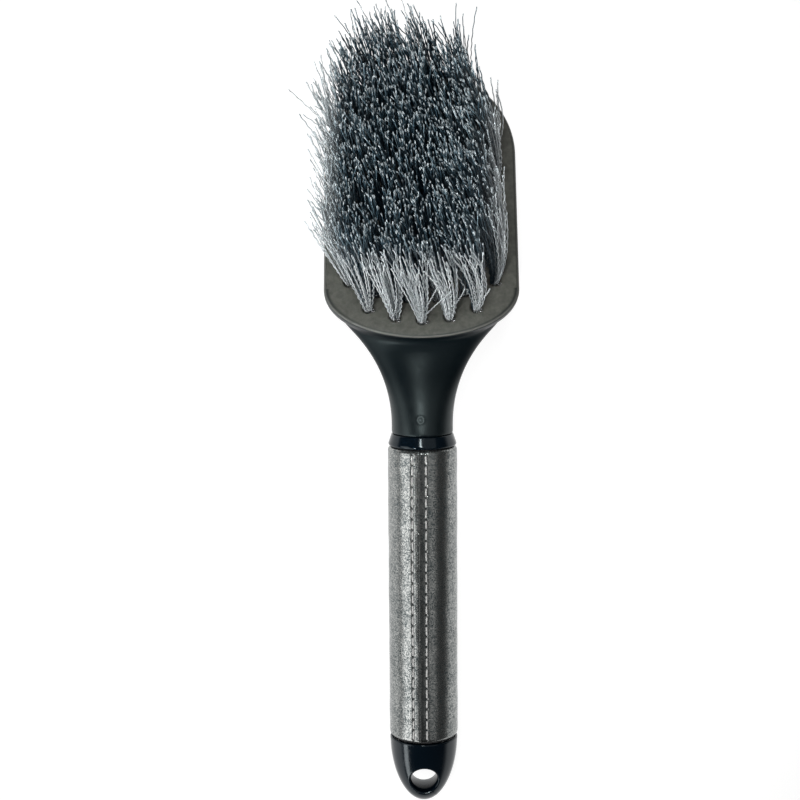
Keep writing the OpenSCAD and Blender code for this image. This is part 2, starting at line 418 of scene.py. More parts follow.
def sewing_thread():
    """Pale spun thread with a little fuzz."""
    look = Look("sewing_thread")
    tint = look.noise(2.0, 2.0)
    fuzz = look.noise(0.12, 2.0)
    look.set("Base Color", look.mixed(tint, (0.56, 0.56, 0.55), (0.84, 0.84, 0.82)))
    look.set("Roughness", look.ranged(fuzz, 0.3, 0.7, 0.45, 0.7))
    look.bump(fuzz, 0.04, 0.5)
    return look.material


def bristle_plastic():
    """Grey filament: each has its own tone. Those at the brush's outside are paler, a painted light where
    the lamps catch them; each is darker low down and paler at the tip, a painted shade deep in the
    tufts; and the cut ends are paler still, a painted glint."""
    look = Look("bristle_plastic", IOR=1.5, Specular_Tint=(0.84, 0.97, 1.0, 1.0))
    along, tone, painted_tip_glint = look.attribute("along"), look.attribute("tone"), look.attribute("painted_tip_glint")
    outer = look.attribute("outer")
    pale = look.mixed(tone, (0.019, 0.046, 0.066), (0.18, 0.255, 0.295))
    painted_deep_shade = look.mixed(tone, (0.004, 0.014, 0.025), (0.022, 0.048, 0.068))
    edge = look.mixed(tone, (0.42, 0.455, 0.47), (0.70, 0.735, 0.745))
    # painted shade: each filament is darker low down in the tuft and paler towards its tip
    colour = look.mixed(look.ranged(along, 0.70, 1.0), painted_deep_shade, pale)
    # painted light: filaments at the brush's outside are paler where the lamps catch them
    colour = look.mixed(outer, colour, edge)
    # painted glint: the cut ends are lightened towards near white
    look.set("Base Color", look.mixed(painted_tip_glint, colour, (0.52, 0.58, 0.60)))
    streak = look.noise(0.8, 2.0, look.stretched((1.0, 1.0, 0.3)))
    look.set("Roughness", look.ranged(streak, 0.3, 0.7, 0.34, 0.52))
    look.bump(streak, 0.03, 0.4)
    return look.material


def lined(name, size_mm, detail, stretch, dark, light, rough, bump, **values):
    """A material with fine lines along it, as drawing or extruding leaves them."""
    look = Look(name, **values)
    lines = look.noise(size_mm, detail, look.stretched(stretch))
    look.set("Base Color", look.mixed(lines, dark, light))
    look.set("Roughness", look.ranged(lines, 0.3, 0.7, *rough))
    look.bump(lines, *bump)
    return look.material


def bright_wire():
    return lined("bright_wire", 0.4, 2.0, (0.2, 1.0, 1.0), (0.62, 0.63, 0.65), (0.90, 0.90, 0.92),
                 (0.10, 0.28), (0.01, 0.3), Metallic=1.0)


def drawn_steel():
    return lined("drawn_steel", 0.5, 3.0, (0.08, 1.0, 1.0), (0.42, 0.43, 0.44), (0.66, 0.67, 0.68),
                 (0.25, 0.5), (0.02, 0.4), Metallic=1.0)


def tube_plastic():
    return lined("tube_plastic", 0.8, 3.0, (1.0, 0.1, 1.0), (0.022, 0.022, 0.024), (0.045, 0.045, 0.048),
                 (0.42, 0.6), (0.02, 0.4))


def closed_foam():
    """Dark foam with closed cells about a millimetre wide."""
    look = Look("closed_foam")
    cells = look.node("ShaderNodeTexVoronoi")
    look.link(look.place, cells.inputs["Vector"])
    cells.inputs["Scale"].default_value = 1 / (0.9 * MM)
    tint = look.noise(5.0, 2.0)
    look.set("Base Color", look.mixed(tint, (0.045, 0.045, 0.047), (0.085, 0.085, 0.088)))
    look.set("Roughness", look.ranged(cells.outputs["Distance"], 0.0, 0.6, 0.95, 0.8))
    look.bump(cells.outputs["Distance"], 0.12, 0.7)
    return look.material


# ------------ head and neck

SIDES = 96
NEAR_ROUND = 19.2
HEAD_THICK = 15.0
DOME_R = 300.0
RIM_R = 1.1
# How far in and how far up the rounding of the back's edge reaches
BACK_IN, BACK_UP = 5.0, 7.0
FAR_MID = HEAD_LEN - HALF_W
NECK_R = 11.5
NECK_START = COLLAR_END + 0.05


def outline(inset, count):
    """Points (x, v) round the head, inset from its edge: an elliptic near end, straight sides and a
    round far end."""
    across, near = HALF_W - inset, NEAR_ROUND - inset
    points = [(-across * math.cos(a), NEAR_ROUND - near * math.sin(a))
              for a in np.linspace(0, math.pi, count, endpoint=False)]
    side = max(4, count // 3)
    points += [(across, v) for v in np.linspace(NEAR_ROUND, FAR_MID, side, endpoint=False)]
    points += [(across * math.cos(a), FAR_MID + across * math.sin(a))
               for a in np.linspace(0, math.pi, count, endpoint=False)]
    points += [(-across, v) for v in np.linspace(FAR_MID, NEAR_ROUND, side, endpoint=False)]
    return np.array(points)


def back_z(x, v):
    """Height of the domed back of the head."""
    return DOME_R - HEAD_THICK - np.sqrt(DOME_R ** 2 - x ** 2 - (v - HEAD_LEN / 2) ** 2)


def head_plate():
    """The head in its own frame, with a fine radius round the face and a larger one round the back."""
    rings = []
    for a in np.linspace(0, math.pi / 2, 7):
        xy = outline(RIM_R * (1 - math.sin(a)), SIDES)
        rings.append(np.column_stack([xy, np.full(len(xy), -RIM_R * (1 - math.cos(a)))]))
    for a in np.linspace(0, math.pi / 2, 11):
        xy = outline(BACK_IN * (1 - math.cos(a)), SIDES)
        rings.append(np.column_stack([xy, back_z(xy[:, 0], xy[:, 1]) + BACK_UP * (1 - math.sin(a))]))
    middle = np.array([0.0, HEAD_LEN / 2])
    edge = outline(BACK_IN, SIDES)
    for share in np.linspace(0.94, 0.05, 16):
        xy = middle + (edge - middle) * share
        rings.append(np.column_stack([xy, back_z(xy[:, 0], xy[:, 1])]))
    return ring_mesh(rings)


# Neck, as the CAD model draws it: a concave arc, a straight flank and a convex shoulder
FLANK = math.radians(41)
WAIST_R = 47.5
SHOULDER_R = 17.0
FLARE_START = NECK_START + 3.3
FLANK_U = FLARE_START + WAIST_R * math.sin(FLANK)
FLANK_HALF = NECK_R + WAIST_R * (1 - math.cos(FLANK))
WING = HALF_W - 0.2
SHOULDER_HALF = WING - SHOULDER_R * (1 - math.cos(FLANK))
SHOULDER_U = FLANK_U + (SHOULDER_HALF - FLANK_HALF) / math.tan(FLANK)
WING_U = SHOULDER_U + SHOULDER_R * math.sin(FLANK)
# The ridge below the neck bends down into the back of the head
BEND_START = NECK_START + 11
RIDGE_RUN = 50
RIDGE_U = BEND_START + RIDGE_RUN
RIDGE_END = FACE_U + 52
RIDGE_CURVE = math.tan(BEND) / (2 * RIDGE_RUN)
# The top of the neck dips to this height over this length, partly straight and partly eased
DIP_W, DIP_RUN, DIP_STRAIGHT = 3.4, 31, 0.35
# Middle (x, u) and radius of the mark that the mould's gate leaves
GATE, GATE_R = (-0.8, NECK_START + 6.3), 1.3


def neck_half(u):
    if u < FLARE_START:
        return NECK_R
    if u < FLANK_U:
        return NECK_R + WAIST_R - math.sqrt(WAIST_R ** 2 - (u - FLARE_START) ** 2)
    if u < SHOULDER_U:
        return FLANK_HALF + (u - FLANK_U) * math.tan(FLANK)
    if u < WING_U:
        return WING - SHOULDER_R + math.sqrt(SHOULDER_R ** 2 - (WING_U - u) ** 2)
    return WING * (1 - 0.6 * ((u - WING_U) / (RIDGE_END - WING_U)) ** 2)


def face_w(u):
    return FACE_W - (u - FACE_U) * math.tan(BEND)


def neck_top(u):
    t = np.clip((u - NECK_START) / DIP_RUN, 0, 1)
    dipped = NECK_R - (NECK_R - DIP_W) * (DIP_STRAIGHT * t + (1 - DIP_STRAIGHT) * ease(t))
    return min(dipped, face_w(u) - 1.5)


def neck_bottom(u):
    if u < BEND_START:
        return -NECK_R
    if u < RIDGE_U:
        return -NECK_R - RIDGE_CURVE * (u - BEND_START) ** 2
    back = face_w(u) - HEAD_THICK / math.cos(BEND)
    back_there = face_w(RIDGE_U) - HEAD_THICK / math.cos(BEND)
    ridge = -NECK_R - RIDGE_CURVE * (RIDGE_U - BEND_START) ** 2
    fade = ease((u - RIDGE_U) / 30)
    return back + (ridge - back_there) * (1 - fade) + 1.5 * fade


def neck_and_tang():
    """Neck and tang in the handle's frame."""
    profile = [(TANG_START, TANG_R - TANG_CHAMFER), (TANG_START + TANG_CHAMFER, TANG_R),
               (NECK_START - 0.01, TANG_R), (NECK_START, TANG_R + 0.2), (NECK_START, NECK_R - 0.4),
               (NECK_START + 0.4, NECK_R)]
    sections = [(u, r, r, -r) for u, r in profile]
    sections += [(u, neck_half(u), neck_top(u), neck_bottom(u))
                 for u in np.arange(NECK_START + 1.2, RIDGE_END, 0.9)]
    across, up = np.cos(ring_angles(SIDES)), np.sin(ring_angles(SIDES))
    points, faces = ring_mesh([
        np.column_stack([half * across, np.full(SIDES, u), (top + bottom) / 2 + (top - bottom) / 2 * up])
        for u, half, top, bottom in sections])
    return to_head(from_handle(points)), faces


def remeshed(obj, voxel_mm):
    """The object's mesh as one closed skin of even quads."""
    modifier = obj.modifiers.new("skin", "REMESH")
    modifier.mode = "VOXEL"
    modifier.voxel_size = voxel_mm * MM
    modifier.use_smooth_shade = True
    graph = bpy.context.evaluated_depsgraph_get()
    mesh = bpy.data.meshes.new_from_object(obj.evaluated_get(graph))
    obj.modifiers.clear()
    old = obj.data
    obj.data = mesh
    bpy.data.meshes.remove(old)


def read_points(obj):
    points = np.empty(len(obj.data.vertices) * 3, np.float32)
    obj.data.vertices.foreach_get("co", points)
    return points.reshape(-1, 3).astype(float) / MM


def write_points(obj, points):
    obj.data.vertices.foreach_set("co", (points * MM).astype(np.float32).ravel())
    obj.data.update()


def relaxed(obj, points, amount, times):
    """Points moved towards their neighbours' middle; amount is how far, from 0 to 1, for each."""
    edges = np.empty(len(obj.data.edges) * 2, np.int32)
    obj.data.edges.foreach_get("vertices", edges)
    a, b = edges.reshape(-1, 2).T
    degree = np.bincount(edges, minlength=len(points))[:, None]
    for _ in range(times):
        total = np.zeros_like(points)
        for k in range(3):
            total[:, k] = (np.bincount(a, points[b, k], len(points))
                           + np.bincount(b, points[a, k], len(points)))
        points = points + amount[:, None] * (total / degree - points)
    return points


def edge_distance(x, v):
    """Distance inside the head's outline; negative outside."""
    half = np.abs(x)
    far = HALF_W - np.hypot(half, v - FAR_MID)
    near = (1 - np.sqrt((half / HALF_W) ** 2 + ((v - NEAR_ROUND) / NEAR_ROUND) ** 2)) * NEAR_ROUND
    return np.where(v > FAR_MID, far, np.where(v < NEAR_ROUND, near, HALF_W - half))


def tufts_of(node):
    """Each tuft's middle at its tips and its direction, in the head's frame, from the CAD solids."""
    points = vertices(node)
    points = points[np.argsort(points[:, 0])]
    parts = np.split(points, np.flatnonzero(np.diff(points[:, 0]) > 1.5) + 1)
    found = []
    for part in parts:
        part = np.unique(part.round(3), axis=0)
        middle = part.mean(0)
        direction = np.linalg.svd(part - middle, full_matrices=False)[2][0]
        direction = direction * np.sign(direction[2])
        reach = (part - middle) @ direction
        tips = part[reach > reach.max() - 0.3].mean(0)
        found.append((to_head([tips])[0], HEAD_AXES @ direction))
    return found


ROWS = [f"tufts_row_{k:02d}" for k in range(1, 13)]
TUFT_LEN = 50.0
SKIN = 0.42
# Each tuft's hole, as deep as it can be seen
HOLE_R, HOLE_SEEN = 1.75, 2.6
tufts = [(row, tip - TUFT_LEN * direction, direction) for row in ROWS for tip, direction in tufts_of(row)]


def head_and_neck(material):
    """Head, neck and tang as one moulding, with the tufts' holes and its attributes for the material."""
    obj = new_object("head_and_neck", *joined(head_plate(), neck_and_tang()), None)
    face_outward(obj)
    remeshed(obj, SKIN)
    points = read_points(obj)
    points = relaxed(obj, points, np.full(len(points), 0.5), 3)
    x, v, z = points.T
    inside = edge_distance(x, v)
    # the corner where the neck meets the head's side becomes a soft fillet
    corner = (ease((-z - 1.3) / 0.8) * ease((inside + 3.5) / 1.0) * ease((1.0 - inside) / 1.0)
              * ease((14 + z) / 3) * (v < 30))
    points = relaxed(obj, points, 0.5 * corner, 40)
    x, v, z = points.T
    inside = edge_distance(x, v)
    on_face = ease((z + 0.25) / 0.2) * ease((inside - 0.6) / 0.7)
    for _, root, _ in tufts:
        away = np.hypot(x - root[0], v - root[1])
        near = (away < 3) & (z > -1)
        points[near, 2] -= HOLE_SEEN * (1 - ease((away[near] - HOLE_R) / 0.5))
    points = from_head(points)
    # the gate's mark is a low ring with a shallow middle
    hx, hu, hw = to_handle(points).T
    away = np.hypot(hx - GATE[0], hu - GATE[1])
    mark = 0.10 * np.exp(-((away - GATE_R) / 0.42) ** 2) - 0.09 * np.exp(-(away / 0.7) ** 2)
    points += (mark * (hw > 0))[:, None] * W_AXIS
    write_points(obj, points)
    obj.data.polygons.foreach_set("use_smooth", [True] * len(obj.data.polygons))
    add_attribute(obj, "face", on_face)
    add_attribute(obj, "matt", ease((hu - NECK_START - 10) / 13) * (1 - on_face))
    # painted highlight along the rounded rim of the face, kept in the edge attribute
    painted_rim_highlight = np.exp(-((z + 0.45) / 0.35) ** 2) * np.exp(-((inside - 0.45) / 0.45) ** 2)
    add_attribute(obj, "edge", painted_rim_highlight)
    obj.data.materials.clear()
    obj.data.materials.append(material)
    face_outward(obj)
    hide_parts("brush_block")
    return obj


# ------------ collar, end cap and foam

COLLAR_ROUND = 0.9


def tapered_collar(material):
    """Ring that narrows from the grip to the neck, with a rounded edge at the grip."""
    inner = TANG_R + 0.05
    u0, u1 = COLLAR_START, NECK_START
    profile = [(u0 + 0.4, inner), (u0, inner + 0.3), (u0, COLLAR_R - 1.1)]
    profile += [(u0 + COLLAR_ROUND * (1 - math.cos(a)), COLLAR_R - COLLAR_ROUND * (1 - math.sin(a)))
                for a in np.radians([20, 40, 60, 80])]
    profile += [(u0 + COLLAR_ROUND + (u1 - u0 - COLLAR_ROUND - 0.2) * t,
                 COLLAR_R - (COLLAR_R - NECK_R - 0.12) * t) for t in np.linspace(0.1, 1, 12)]
    profile += [(u1 - 0.1, NECK_R + 0.02), (u1 - 0.02, NECK_R - 0.25), (u1 - 0.02, inner + 0.3),
                (u1 - 0.4, inner)]
    angles = ring_angles(160)
    rings = [handle_ring(u, r, angles) for u, r in profile]
    obj = handle_piece("tapered_collar", loop_mesh(rings), material)
    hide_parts("collar")
    return obj


TIP_HALF = 6.1
# How sharply the flat taper meets the round of the cap, and how much it swells towards the rim
TAPER_POWER, TAPER_SWELL = 14.0, 0.0507
HANG_R = 5.2
HOLE_FILLET = 0.7
LIP_R = 0.55
# Direction from the hole in which the mould line runs, and its height
MOULD_LINE, MOULD_LINE_H = 148, 0.22


def cap_half(u):
    return CAP_R * np.sqrt(np.clip(1 - ((CAP_LEN - u) / CAP_LEN) ** 2, 0, 1))


def cap_height(x, u):
    """Half the end cap's thickness at a place in its plan."""
    half = np.maximum(cap_half(u), 1e-3)
    taper = TIP_HALF + (CAP_R - TIP_HALF) * u / CAP_LEN
    thick = (half ** -TAPER_POWER + taper ** -TAPER_POWER) ** (-1 / TAPER_POWER)
    thick = thick * (1 + TAPER_SWELL * (u / CAP_LEN) ** 4)
    return thick * np.sqrt(np.clip(1 - (x / half) ** 2, 0, 1))


def cap_edge_reach(a):
    """Distance from the middle of the hanging hole to the cap's edge, in the direction a."""
    low, high = 0.0, 40.0
    for _ in range(40):
        middle = (low + high) / 2
        x, u = middle * math.sin(a), HANG_U + middle * math.cos(a)
        inside = 0 < u < CAP_LEN - LIP_R and abs(x) < cap_half(u)
        low, high = (middle, high) if inside else (low, middle)
    return low


def cap_columns(sides, steps):
    """Columns of points on the cap's upper half, one in each direction from the hole: up the hole's
    wall from its middle, over the fillet and out to the rim or the side."""
    columns = []
    for a in ring_angles(sides):
        direction = np.array([math.sin(a), math.cos(a)])
        base = np.array([0, HANG_U]) + (HANG_R + HOLE_FILLET) * direction
        lip = cap_height(*base)
        wall = HANG_R * direction[0], HANG_U + HANG_R * direction[1]
        column = [(*wall, 0.0), (*wall, lip * 0.5)]
        for b in np.radians([0, 22, 45, 67]):
            r = HANG_R + HOLE_FILLET * (1 - math.cos(b))
            column.append((r * direction[0], HANG_U + r * direction[1],
                           lip - HOLE_FILLET * (1 - math.sin(b)) * 0.9))
        reach = cap_edge_reach(a) - HANG_R - HOLE_FILLET
        for b in np.linspace(0, math.pi / 2, steps):
            r = HANG_R + HOLE_FILLET + reach * math.sin(b)
            x, u = r * direction[0], HANG_U + r * direction[1]
            column.append((x, u, cap_height(x, u)))
        columns.append(column)
    columns = np.array(columns)
    turn = np.degrees(np.abs(ring_angles(sides) - math.radians(MOULD_LINE)))
    ridge = MOULD_LINE_H * np.exp(-(turn / 2.2) ** 2)
    share = np.clip(np.linspace(0, 1.1, steps), 0, 1)
    columns[:, -steps:, 2] += ridge[:, None] * np.sin(np.pi * share)[None, :]
    return columns


def hanging_cap(material):
    """End cap: the same columns above and below, then the rim, the shoulder and the spigot."""
    sides = 240
    upper = cap_columns(sides, 30)
    lower = upper[:, 1:] * np.array([1, 1, -1.0])
    count = upper.shape[1]
    index_up = np.arange(sides * count).reshape(sides, count)
    index_low = np.arange(sides * (count - 1)).reshape(sides, count - 1) + sides * count
    index_low = np.column_stack([index_up[:, 0], index_low])
    faces = []
    for index, order in ((index_up, 1), (index_low, -1)):
        after = np.roll(index, -1, axis=0)
        quads = np.stack([index[:, :-1], index[:, 1:], after[:, 1:], after[:, :-1]], -1)
        faces += quads.reshape(-1, 4)[:, ::order].tolist()
    points = np.concatenate([upper.reshape(-1, 3), lower.reshape(-1, 3)])
    shell = new_object("hanging_cap", from_handle(points), faces, material)
    from_hole = np.hypot(points[:, 0], points[:, 1] - HANG_U)
    depth = np.clip(0.5 + points[:, 2] / (2 * cap_height(points[:, 0], points[:, 1]) + 1e-6), 0, 1)
    add_attribute(shell, "wall", (1 - ease((from_hole - HANG_R - 0.02) / 0.25)) * ease(1.5 * depth))
    bm = bmesh.new()
    bm.from_mesh(shell.data)
    bmesh.ops.remove_doubles(bm, verts=bm.verts, dist=0.004 * MM)
    edges = [e for e in bm.edges if e.is_boundary]
    lip = [(CAP_LEN - 0.16, CAP_R - 0.02), (CAP_LEN - 0.02, CAP_R - 0.25), (CAP_LEN, CAP_R - 0.6),
           (CAP_LEN - 0.1, CAP_R - 1.2), (CAP_LEN - 0.9, CAP_R - 1.5), (CAP_LEN - 1.6, TANG_R + 0.4),
           (CAP_LEN - 1.4, TANG_R), (SPIGOT_END - TANG_CHAMFER, TANG_R), (SPIGOT_END, TANG_R - TANG_CHAMFER)]
    for u, r in lip:
        made = bmesh.ops.extrude_edge_only(bm, edges=edges)["geom"]
        edges = [g for g in made if isinstance(g, bmesh.types.BMEdge)]
        for vert in [g for g in made if isinstance(g, bmesh.types.BMVert)]:
            x, _, w = to_handle(np.array(vert.co) / MM)
            length = math.hypot(x, w)
            vert.co = Vector(from_handle([x / length * r, u, w / length * r]) * MM)
    bmesh.ops.holes_fill(bm, edges=edges)
    bmesh.ops.recalc_face_normals(bm, faces=bm.faces)
    for face in bm.faces:
        face.smooth = True
    bm.to_mesh(shell.data)
    bm.free()
    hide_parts("end_cap")
    return shell


FOAM_THICK = 1.75


def foam_layer(material):
    """Thin foam tube with soft ends and a slightly uneven skin."""
    inner, skin = FOAM_R - FOAM_THICK, FOAM_R - 0.05
    angles = ring_angles(96)
    u0, u1 = GRIP_START, GRIP_END
    profile = [(u0 + 0.3, inner), (u0, inner + 0.5), (u0 + 0.1, FOAM_R - 0.5), (u0 + 0.6, skin)]
    profile += [(u, skin) for u in np.linspace(u0 + 2, u1 - 2, 60)]
    profile += [(u1 - 0.6, skin), (u1 - 0.1, FOAM_R - 0.5), (u1, inner + 0.5), (u1 - 0.3, inner)]
    rings = []
    for u, r in profile:
        uneven = 0.03 * np.sin(3 * angles + u * 0.31) * np.sin(0.47 * u + angles) if r == skin else 0
        rings.append(handle_ring(u, r + uneven, angles))
    obj = handle_piece("foam_layer", loop_mesh(rings), material)
    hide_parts("foam_sleeve")
    return obj


# ------------ fabric grip

FABRIC_START, FABRIC_END = GRIP_START + 0.45, GRIP_END - 0.1
MESH_STEP = 0.3
YARN_PITCH = 0.42
SEAM_ANGLE = math.radians(-6.4)
STITCH_OFFSET = 2.55
STITCH_PITCH = 4.06
STITCH_LEN = 3.0
# Width of the layer under the seam, and how far the ends are turned in
LAP = 3.0
HEM = 1.5
# The folded edge of the upper layer: distance round from the seam and depth below it
FOLD_C = np.array([0.22, 0.30, 0.20, -0.3, -1.2])
FOLD_DEPTH = np.array([0.12, 0.30, 0.48, 0.56, 0.56])
UNDER_DEPTH = 0.42
# Depth and half width of the dimple where a thread goes in
DIMPLE, DIMPLE_HALF = 0.35, 0.28
# How dark the painted shade is on the strip between the seam and the right stitches
SEAM_SHADE = 0.50


def seam_profile(c):
    """Height of the fabric's skin near the seam; c is the distance round from the seam, left negative."""
    raised = 0.38 * np.exp(-np.maximum(-c - 0.5, 0) / 2.6) * (c <= 0)
    valley = -0.26 * np.exp(-(np.maximum(c - 1.2, 0) / 2.2) ** 2) * (c > 0)
    groove = -0.13 * np.exp(-((np.abs(c) - STITCH_OFFSET) / 0.45) ** 2)
    return raised + valley + groove


def stitch_middles():
    count = int((GRIP_END - GRIP_START - 2) // STITCH_PITCH)
    margin = (GRIP_END - GRIP_START - (count - 1) * STITCH_PITCH - STITCH_LEN) / 2
    return GRIP_START + margin + STITCH_LEN / 2 + np.arange(count) * STITCH_PITCH


def fabric_stations():
    """Places along the grip (u, drop); drop is how far the skin is turned in at the hemmed ends."""
    rows = int(round((FABRIC_END - FABRIC_START - 2 * HEM) / MESH_STEP))
    start = [(FABRIC_START + 1.9, HEM + 0.25), (FABRIC_START + 0.9, HEM + 0.22)]
    start += [(FABRIC_START + HEM * (1 - math.cos(a)), HEM * (1 - math.sin(a)))
              for a in np.radians([5, 25, 45, 65, 82])]
    finish = [(FABRIC_END - (u - FABRIC_START), drop) for u, drop in reversed(start)]
    return start + [(u, 0.0) for u in np.linspace(FABRIC_START + HEM, FABRIC_END - HEM, rows)] + finish


def grip_fabric(material):
    """Woven sheet wrapped round the foam: its left edge is folded and lies over its right one."""
    around = 2 * math.pi * GRIP_R
    columns = int(round(around / (2 * MESH_STEP))) * 2
    c = np.concatenate([np.linspace(-LAP, 0, 11)[:-1], np.linspace(0, around, columns + 1)])
    under = c < 0
    from_seam = np.where(c > around / 2, c - around, c)
    height = np.where(under, -UNDER_DEPTH, seam_profile(from_seam))
    folded = GRIP_R + seam_profile(np.array([0.0]))[0] - FOLD_DEPTH
    across = np.concatenate([c, around + FOLD_C])
    a = SEAM_ANGLE + across / GRIP_R
    middles = stitch_middles()
    holes = np.concatenate([middles - STITCH_LEN / 2 - 0.25, middles + STITCH_LEN / 2 + 0.25])
    beside = np.exp(-((np.abs(from_seam) - STITCH_OFFSET) / DIMPLE_HALF) ** 2)
    # painted shade on the strip between the seam and the right stitches
    shade = SEAM_SHADE * ease(from_seam / 0.3) * ease((STITCH_OFFSET - 0.2 - from_seam) / 0.3) * ~under
    points, yarn_u, yarn_c, hole = [], [], [], []
    for i, (u, drop) in enumerate(fabric_stations()):
        woven = 0.020 * (np.cos(math.pi * np.arange(len(c))) * 0.5 + math.cos(math.pi * i) * 0.5)
        slack = 0.05 * np.sin(u * 0.21 + 2 * np.sin(c * 0.15)) * np.sin(c * 0.31 + u * 0.043)
        slack = slack + 0.03 * np.sin(u * 0.55 + c * 0.5)
        dimple = beside * np.exp(-(np.abs(holes - u).min() / DIMPLE_HALF) ** 2) * ~under
        r = GRIP_R + height + np.where(under, 0, woven + slack) - DIMPLE * dimple
        r = np.concatenate([r, folded]) - drop
        points.append(handle_ring(u, r, a))
        yarn_u.append(np.full(len(a), (u - FABRIC_START) / YARN_PITCH))
        yarn_c.append(across / YARN_PITCH)
        # painted shade: darker in the thread dimples and on the strip beside the seam
        hole.append(np.concatenate([np.maximum(dimple, shade), np.zeros(len(FOLD_C))]))
    points = np.array(points)
    obj = new_object("grip_fabric", from_handle(points.reshape(-1, 3)),
                     grid_faces(points.shape[0], points.shape[1], False), material)
    add_attribute(obj, "yarn_u", np.concatenate(yarn_u))
    add_attribute(obj, "yarn_c", np.concatenate(yarn_c))
    add_attribute(obj, "hole", np.concatenate(hole))
    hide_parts("grip_cover")
    return obj


THREAD_R = 0.29
TWIST = 1.7


def stitch_line(name, node, offset, material):
    """Raised thread stitches of two twisted plies; each dips into the fabric at its ends."""
    rings, sides = 17, 10
    stitches = []
    skin = GRIP_R + seam_profile(np.array([offset]))[0]
    t = np.linspace(-1, 1, rings)
    lift = 0.20 * np.sqrt(np.clip(1 - t ** 6, 0, 1)) - 0.32 * np.abs(t) ** 8
    for middle in stitch_middles():
        length = STITCH_LEN * (1 + random.uniform(-0.05, 0.05))
        askew = random.uniform(-0.10, 0.10)
        phase = random.uniform(0, 2 * math.pi)
        around = []
        for here, height in zip(t, skin + lift):
            u = middle + here * (length / 2 + 0.1)
            a = SEAM_ANGLE + (offset + askew * here) / GRIP_R
            out = np.array([math.sin(a), 0, math.cos(a)])
            flat = np.array([math.cos(a), 0, -math.sin(a)])
            b = ring_angles(sides)[:, None]
            r = THREAD_R * (1 + 0.16 * np.cos(2 * b + u * 2 * math.pi / TWIST + phase))
            around.append(height * out + [0, u, 0] + r * (np.cos(b) * flat * 1.1 + np.sin(b) * out * 0.85))
        stitches.append(ring_mesh(around))
    obj = handle_piece(name, joined(*stitches), material)
    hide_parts(node)
    return obj


# ------------ bristles and their anchors

FILAMENTS = 50
FILAMENT_R = 0.20
RINGS = 62
# Wavelength of a filament's crimp, and how deep in its hole it starts to be drawn
CRIMP = 4.8
BURIED = 2.2
# Radius of a tuft at its hole, and how far it fans out at its tips
TUFT_R, FAN = 1.55, 4.2
# Distance from the middle of the face to its outermost tufts
OUTER_X = 27.0


def filaments_of(root, direction, count, apart):
    """Centre lines of one tuft's filaments, in the head's frame, with how far along each point is.
    The first ones, as many as apart, start straight up and don't join the tuft's fan."""
    far = root[1] / HEAD_LEN
    outer = root[0] / OUTER_X
    first_side = unit(np.cross(direction, [0, 1.0, 0]))
    second_side = np.cross(direction, first_side)
    first_side = -first_side if first_side[0] < 0 else first_side
    second_side = -second_side if second_side[1] < 0 else second_side
    angle = random.uniform(0, 2 * math.pi, count)
    towards = np.column_stack([np.cos(angle), np.sin(angle)])
    spread = np.sqrt(random.uniform(0, 1, count))
    fan = FAN * spread ** 0.9 + np.abs(random.normal(0, 0.7, count))
    wander = random.normal(0, 0.8, (count, 2))
    flare = random.normal(0, 1, (count, 2)) * [1.7, 2.2] + [0, 3.0]
    together = random.normal(0, 1.3, 2)
    fan[:apart], wander[:apart], flare[:apart] = 0, 0, 0
    length = TUFT_LEN + random.normal(-1.6, 2.4, count) + random.normal(0, 0.8)
    plane = random.uniform(0, math.pi, count)
    phase = random.uniform(0, 2 * math.pi, (count, 1))
    height = random.uniform(0.14, 0.28, (count, 1))
    reach = -BURIED + np.linspace(0, 1, RINGS)[None, :] * (length[:, None] + BURIED)
    share = np.clip(reach / TUFT_LEN, 0, 1.1)
    # the whole brush is combed to the left, more so at its far end and on its right
    comb = -(4.2 + 2.6 * outer + 3.4 * max(outer, 0) + 2.0 * ease(far * 1.1))
    lean = 3.0 * far - 2.4 * (1 - far)
    splay = np.stack([comb * share ** 1.7, lean * share ** 1.6], -1)
    wave = (height * np.sin(2 * math.pi * reach / CRIMP + phase)
            * ease((reach + 0.5) / 5) * (1.15 - 0.6 * share))
    bundle = TUFT_R * spread[:, None] * towards
    opened = fan[:, None] * towards + wander
    share_3, wave_3 = share[:, :, None], wave[:, :, None]
    crimp = np.column_stack([np.cos(plane), np.sin(plane)])
    # how far each point is from the tuft's middle line, across the head and along it
    away = (bundle[:, None] + opened[:, None] * share_3 ** 0.85 + splay + together * share_3
            + flare[:, None] * share_3 ** 4 + wave_3 * crimp[:, None])
    # a filament that is pushed aside keeps its length
    drop = (away ** 2).sum(-1) / (2.6 * TUFT_LEN) * share
    return root + (reach - drop)[:, :, None] * direction + away @ [first_side, second_side], share


def bend_aside(lines, share, sideways):
    """Filaments that stand away from their tuft: sideways is a shift at the tip, in the head's frame."""
    return lines + (share ** 1.1)[:, :, None] * np.asarray(sideways)[:, None, :]


# Filaments that stand out: row, tuft, and how far the tip is moved (x, v, z)
STRAYS = [(1, 1, (6.5, -12, -3)), (1, 2, (15, -10, -4)), (1, 2, (11, -9, -3)), (1, 3, (9, -12, -3)),
          (1, 4, (7, -12, -3)), (1, 4, (10, -13, -4)), (9, 0, (-15, 3, -4)), (9, 0, (-20.5, 1, -7)),
          (8, 0, (-11, 6, -3)), (7, 0, (-14, 5, -4)), (10, 0, (-15, 3, -4)), (5, 0, (-8, 3, -2)),
          (4, 0, (-5, 6, -1)), (3, 0, (-7, 2, -2)), (2, 0, (-5, 5, -1)), (6, 5, (5, 4, -1)),
          (8, 5, (6, 5, -2)), (4, 5, (6, 6, -2))]


